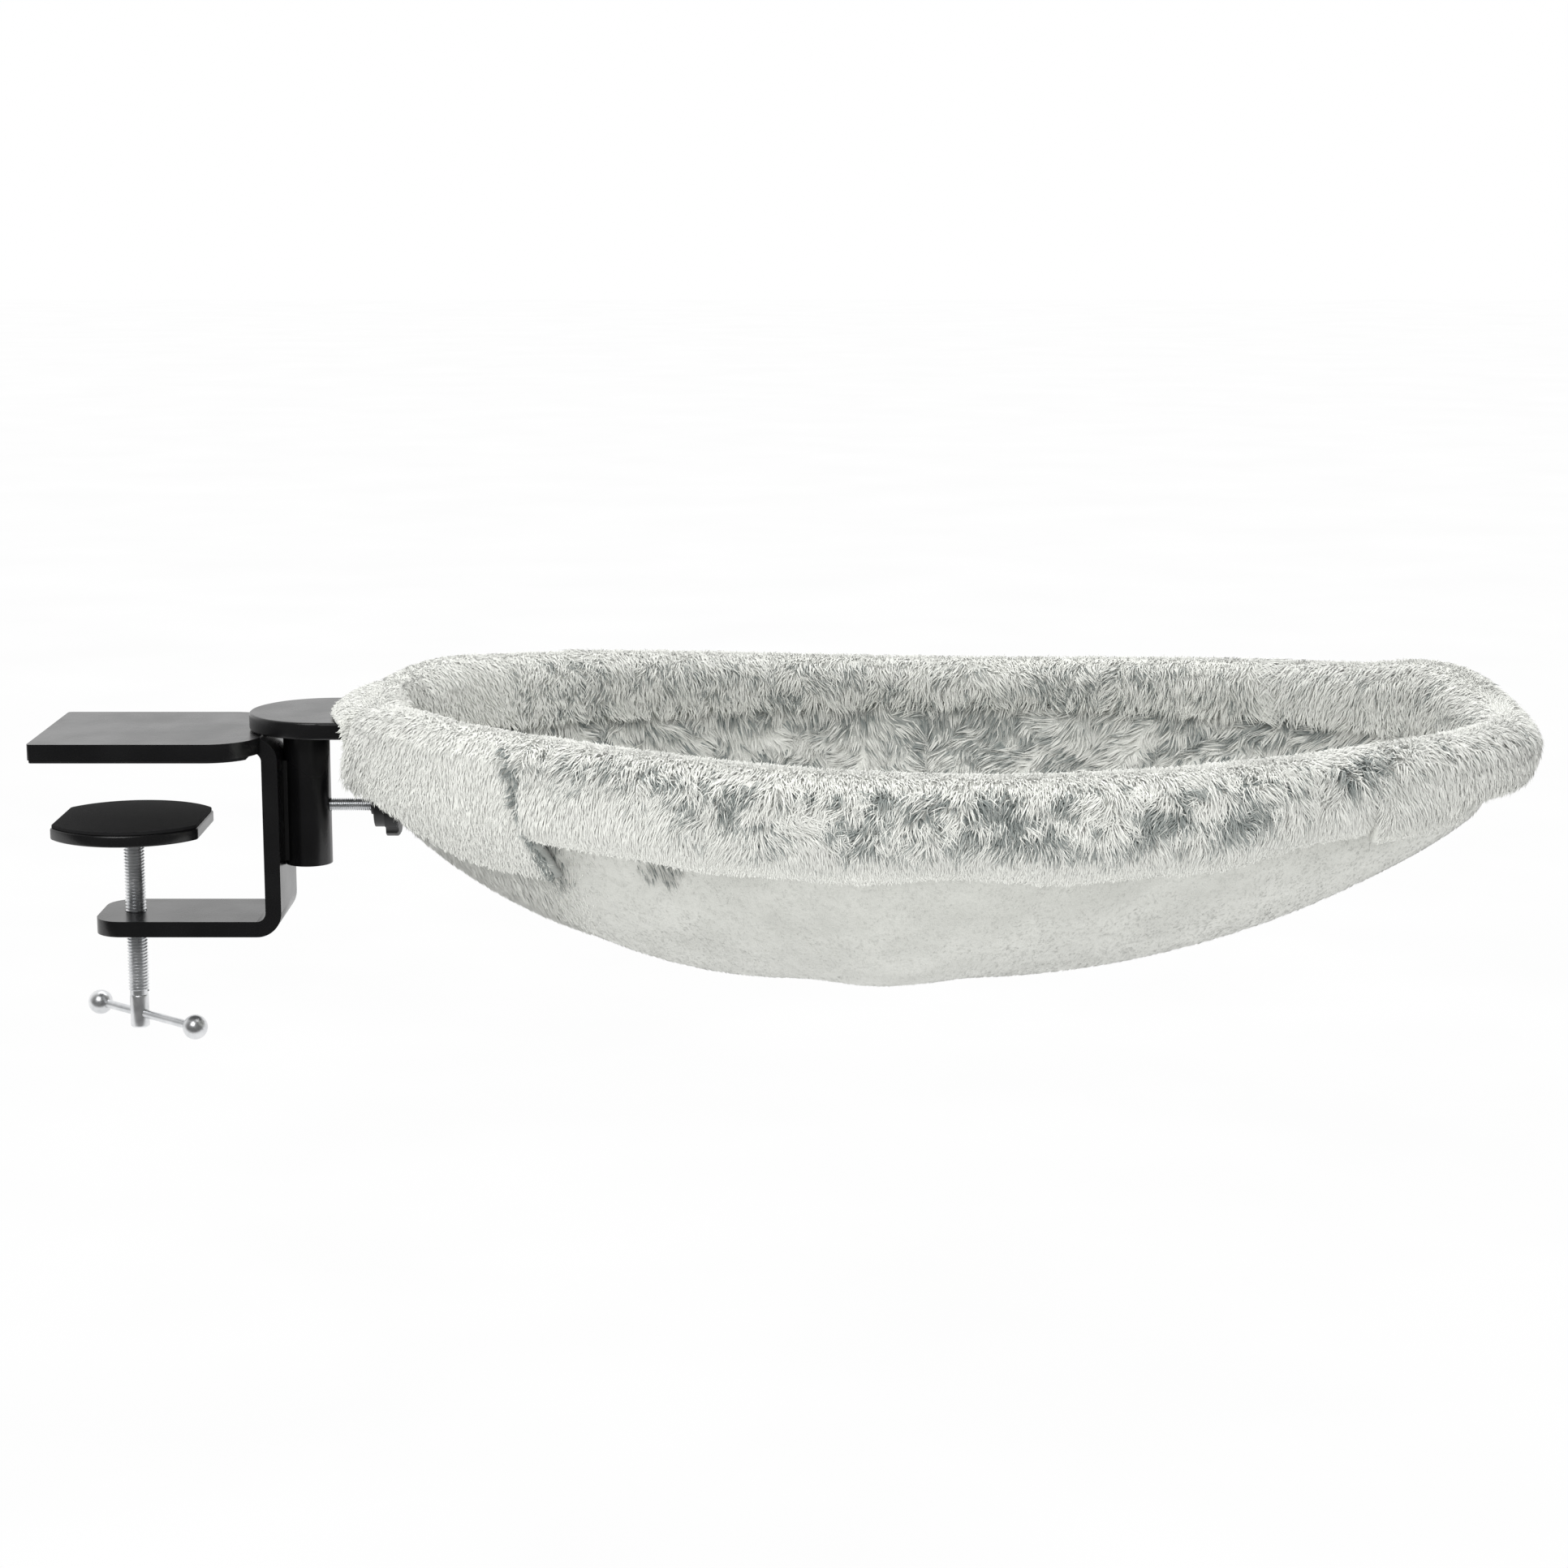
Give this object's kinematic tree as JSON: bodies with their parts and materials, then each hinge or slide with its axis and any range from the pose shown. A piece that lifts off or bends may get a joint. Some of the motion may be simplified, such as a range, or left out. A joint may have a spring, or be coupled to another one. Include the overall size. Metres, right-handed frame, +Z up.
{
  "type": "clamp-on cat hammock",
  "caption": "Desk clamp with a swivel arm that carries an oval hoop and a soft plush pouch for a cat to lie in.",
  "frame": {"origin": "on the clamp screw's axis, on the gripping face under the top jaw", "axes": "+X from the clamp to the hammock, +Z up, +Y across the desk edge"},
  "size_m": [0.5675, 0.3024, 0.1356],
  "materials": {
    "black_steel": "semi-gloss powder coat",
    "zinc_steel": "bright zinc plate",
    "foam": "matt foam",
    "black_plastic": "moulded",
    "nylon": "moulded",
    "short_plush": "short pile",
    "long_plush": "long pile"
  },
  "bodies": {
    "clamp": {"clamp_frame": "black_steel", "socket_tube": "black_steel", "tube_welds": "black_steel", "jaw_liner": "foam"},
    "pad": {"pressure_plate": "black_steel", "pad_liner": "foam"},
    "screw": {"clamp_screw": "zinc_steel"},
    "handle": {"handle_rod": "zinc_steel", "handle_ball_near": "zinc_steel", "handle_ball_far": "zinc_steel"},
    "lock_slug": {"lock_tip": "nylon"},
    "lock": {"lock_screw": "zinc_steel", "lock_knob": "black_plastic"},
    "hammock": {"swivel_arm": "black_steel", "swivel_post": "zinc_steel", "post_weld": "black_steel", "hoop": "black_steel", "hoop_welds": "black_steel", "pouch": "short_plush", "pouch_lining": "long_plush", "front_flap": "long_plush", "back_flap": "long_plush", "arm_end_flap": "long_plush", "far_end_flap": "long_plush"}
  },
  "joints": [
    {"name": "clamp_travel", "type": "slide", "parent": "clamp", "child": "pad", "axis": [0, 0, 1], "range_m": [-0.029, 0.0265]},
    {"name": "screw_turn", "type": "hinge", "parent": "pad", "child": "screw", "pos_m": [0, 0, -0.07], "axis": [0, 0, 1], "range_deg": [-8353, 7633]},
    {"name": "handle_slide", "type": "slide", "parent": "screw", "child": "handle", "axis": [0.7547, -0.6561, 0], "range_m": [-0.0248, 0.0158]},
    {"name": "lock_travel", "type": "slide", "parent": "clamp", "child": "lock_slug", "axis": [1, 0, 0], "range_m": [0, 0.0016]},
    {"name": "lock_turn", "type": "hinge", "parent": "lock_slug", "child": "lock", "pos_m": [0.0872, 0, -0.0225], "axis": [1, 0, 0], "range_deg": [0, 720]},
    {"name": "hammock_swivel", "type": "hinge", "parent": "clamp", "child": "hammock", "pos_m": [0.0672, 0, 0], "axis": [0, 0, 1], "range_deg": [-45, 45]}
  ],
  "couplings": [
    {"joint": "screw_turn", "follows": "clamp_travel", "rad_per_m": 5026.5},
    {"joint": "lock_travel", "follows": "lock_turn", "m_per_rad": 0.00012732}
  ]
}
